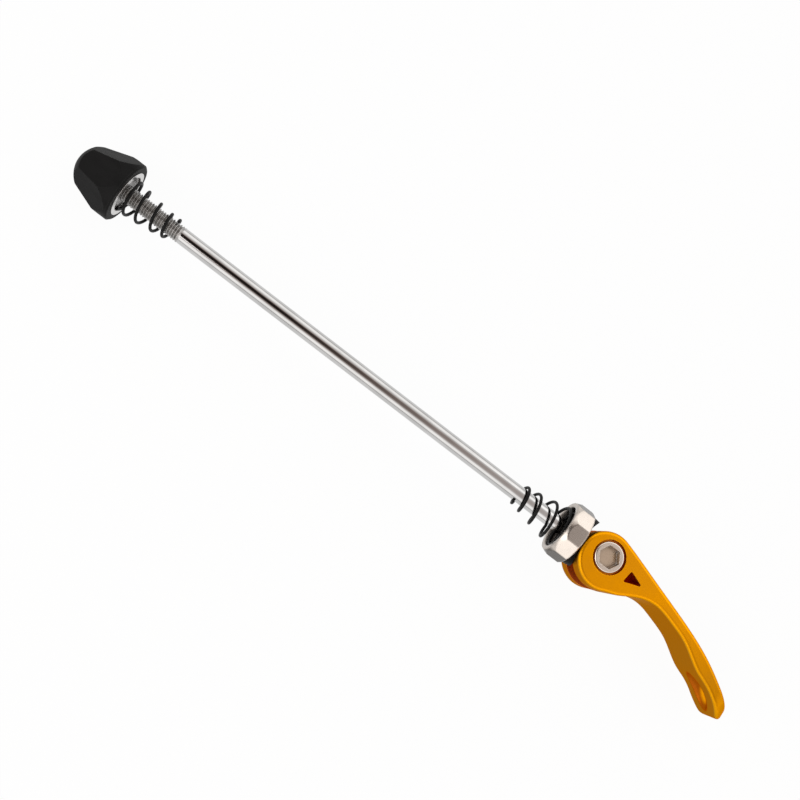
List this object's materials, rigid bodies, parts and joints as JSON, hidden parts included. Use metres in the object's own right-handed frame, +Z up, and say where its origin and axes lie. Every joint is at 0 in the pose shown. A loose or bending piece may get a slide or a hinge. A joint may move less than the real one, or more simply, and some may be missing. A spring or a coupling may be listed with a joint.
{
  "type": "bicycle quick release skewer",
  "caption": "Bicycle quick release skewer with an open cam lever, a ten-sided clamp cup, conical springs and a domed finger nut on a long steel rod.",
  "frame": {"origin": "on the rod's axis, in the plane of the cup's clamp face", "axes": "+X along the rod from the nut to the lever, +Z up along the lever's pivot, +Y away from the lever's hollow side"},
  "size_m": [0.2399, 0.0273, 0.0186],
  "materials": {
    "rod_steel": "bright",
    "barrel_steel": "satin",
    "gold_anodised": "satin anodised",
    "saddle_plastic": "matte",
    "cup_nickel": "brushed, plated",
    "spring_black": "black oxide",
    "nut_plastic": "satin",
    "core_steel": "plated",
    "nylon": "matte"
  },
  "bodies": {
    "rod": {"skewer_rod": "rod_steel", "pivot_barrel": "barrel_steel"},
    "lever": {"cam_lever": "gold_anodised"},
    "clamp": {"clamp_cup": "cup_nickel", "cam_saddle": "saddle_plastic", "lever_spring": "spring_black"},
    "nut_carrier": {"nut_spring": "spring_black"},
    "nut": {"nut_shell": "nut_plastic", "nut_core": "core_steel", "nut_lock_ring": "nylon"}
  },
  "joints": [
    {"name": "lever_pivot", "type": "hinge", "parent": "rod", "child": "lever", "pos_m": [0.01487, 0, 0], "axis": [0, 0, -1], "range_deg": [-85, 73]},
    {"name": "cup_slide", "type": "slide", "parent": "rod", "child": "clamp", "axis": [-1, 0, 0], "range_m": [-0.0009, 0.0009]},
    {"name": "nut_advance", "type": "slide", "parent": "rod", "child": "nut_carrier", "axis": [1, 0, 0], "range_m": [-0.00322, 0.00962]},
    {"name": "nut_turn", "type": "hinge", "parent": "nut_carrier", "child": "nut", "pos_m": [-0.154, 0, 0], "axis": [1, 0, 0], "range_deg": [-1440, 4320]}
  ],
  "couplings": [
    {"joint": "cup_slide", "follows": "lever_pivot", "m_per_rad": 0.0006},
    {"joint": "nut_advance", "follows": "nut_turn", "m_per_rad": 0.00012732}
  ]
}
